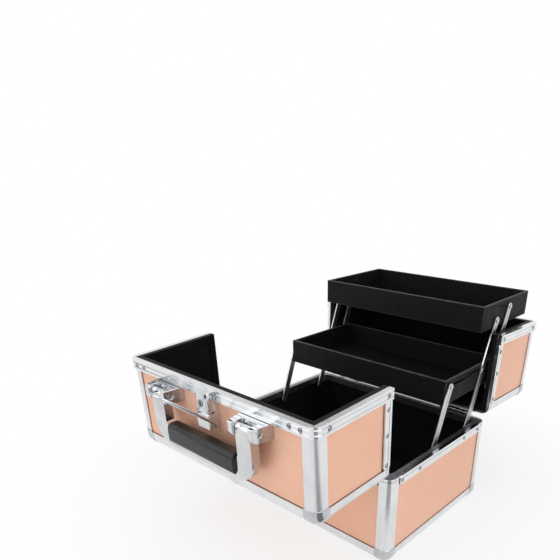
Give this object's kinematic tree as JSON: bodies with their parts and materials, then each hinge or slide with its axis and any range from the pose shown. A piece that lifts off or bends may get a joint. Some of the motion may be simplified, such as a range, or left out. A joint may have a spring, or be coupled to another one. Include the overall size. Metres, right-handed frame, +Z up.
{
  "type": "makeup case",
  "caption": "Hard makeup case with two hinged lids, a folding handle, a lock with a wire bail, and two trays on arms that rise and stow with the rear lid.",
  "frame": {"origin": "middle of the underside of the base", "axes": "+X along the case's length, to the right seen from the front; +Y from the front lid to the rear lid; +Z up"},
  "size_m": [0.2564, 0.4702, 0.2312],
  "materials": {
    "rose_panel": "rose gold laminate with a fine metallic grain",
    "black_board": "black board",
    "lining": "black fabric lining",
    "extrusion": "satin anodised",
    "chrome": "polished",
    "rivet": "polished rivet steel",
    "arm": "satin flat steel",
    "tray": "black leatherette grain over board",
    "grip": "black, slightly glossy"
  },
  "bodies": {
    "case_base": {"base_front_panel": "rose_panel", "base_rear_panel": "rose_panel", "base_left_panel": "rose_panel", "base_right_panel": "rose_panel", "base_bottom_panel": "black_board", "base_lining": "lining", "base_corner_posts": "extrusion", "base_long_edges": "extrusion", "base_end_edges": "extrusion", "base_rim": "extrusion", "base_corner_fittings": "chrome", "base_rivets": "rivet", "hinge_base_leaves": "chrome", "hinge_pins": "rivet", "arm_base_studs": "rivet"},
    "front_lid": {"front_lid_face_panel": "rose_panel", "front_lid_top_panel": "rose_panel", "front_lid_left_panel": "rose_panel", "front_lid_right_panel": "rose_panel", "front_lid_lining": "lining", "front_lid_posts": "extrusion", "front_lid_top_edge": "extrusion", "front_lid_end_edges": "extrusion", "front_lid_rim": "extrusion", "front_lid_seam_frame": "extrusion", "front_lid_corner_fittings": "chrome", "front_lid_rivets": "rivet", "front_lid_hinge_leaves": "chrome", "handle_brackets": "chrome", "handle_pins": "chrome", "lock_plate": "chrome", "lock_housing": "chrome"},
    "rear_lid": {"rear_lid_face_panel": "rose_panel", "rear_lid_top_panel": "rose_panel", "rear_lid_left_panel": "rose_panel", "rear_lid_right_panel": "rose_panel", "rear_lid_lining": "lining", "rear_lid_posts": "extrusion", "rear_lid_top_edge": "extrusion", "rear_lid_end_edges": "extrusion", "rear_lid_rim": "extrusion", "rear_lid_seam_frame": "extrusion", "rear_lid_corner_fittings": "chrome", "rear_lid_rivets": "rivet", "rear_lid_hinge_leaves": "chrome", "catch": "chrome", "rear_arms": "arm"},
    "handle": {"handle_frame": "chrome", "handle_grip": "grip"},
    "bail": {"lock_bail": "rivet"},
    "flap": {"lock_flap": "chrome"},
    "key_cylinder": {"lock_cylinder": "rivet"},
    "long_arm_pair": {"long_arms": "arm"},
    "short_arm_pair": {"short_arms": "arm"},
    "tray_lower": {"lower_tray": "tray", "lower_tray_rivets": "rivet"},
    "tray_upper": {"upper_tray": "tray", "upper_tray_rivets": "rivet"}
  },
  "joints": [
    {"name": "front_lid_hinge", "type": "hinge", "parent": "case_base", "child": "front_lid", "pos_m": [0, -0.099, 0.1], "axis": [1, 0, 0], "range_deg": [-92, 0]},
    {"name": "rear_lid_hinge", "type": "hinge", "parent": "case_base", "child": "rear_lid", "pos_m": [0, 0.099, 0.1], "axis": [-1, 0, 0], "range_deg": [-92, 0]},
    {"name": "long_arms_pivot", "type": "hinge", "parent": "case_base", "child": "long_arm_pair", "pos_m": [0, 0.07, 0.0894], "axis": [-1, 0, 0], "range_deg": [-92, 0]},
    {"name": "short_arms_pivot", "type": "hinge", "parent": "case_base", "child": "short_arm_pair", "pos_m": [0, -0.00007, 0.0894], "axis": [-1, 0, 0], "range_deg": [-92, 0]},
    {"name": "lower_tray_pivot", "type": "hinge", "parent": "long_arm_pair", "child": "tray_lower", "pos_m": [0, 0.09557, 0.15778], "axis": [-1, 0, 0], "range_deg": [0, 92]},
    {"name": "upper_tray_pivot", "type": "hinge", "parent": "long_arm_pair", "child": "tray_upper", "pos_m": [0, 0.11553, 0.21117], "axis": [-1, 0, 0], "range_deg": [0, 92]},
    {"name": "handle_pivot", "type": "hinge", "parent": "front_lid", "child": "handle", "pos_m": [0, -0.21376, 0.17704], "axis": [-1, 0, 0], "range_deg": [0, 90]},
    {"name": "bail_pivot", "type": "hinge", "parent": "front_lid", "child": "bail", "pos_m": [0, -0.20838, 0.16622], "axis": [1, 0, 0], "range_deg": [-50, 80]},
    {"name": "flap_pivot", "type": "hinge", "parent": "front_lid", "child": "flap", "pos_m": [0, -0.20949, 0.17219], "axis": [-1, 0, 0], "range_deg": [0, 60]},
    {"name": "key_turn", "type": "hinge", "parent": "front_lid", "child": "key_cylinder", "pos_m": [0, -0.20998, 0.1835], "axis": [0, -0.9994, -0.0349], "range_deg": [0, 90]}
  ],
  "couplings": [
    {"joint": "long_arms_pivot", "follows": "rear_lid_hinge", "ratio": 1},
    {"joint": "short_arms_pivot", "follows": "rear_lid_hinge", "ratio": 1},
    {"joint": "lower_tray_pivot", "follows": "rear_lid_hinge", "ratio": -1},
    {"joint": "upper_tray_pivot", "follows": "rear_lid_hinge", "ratio": -1}
  ]
}
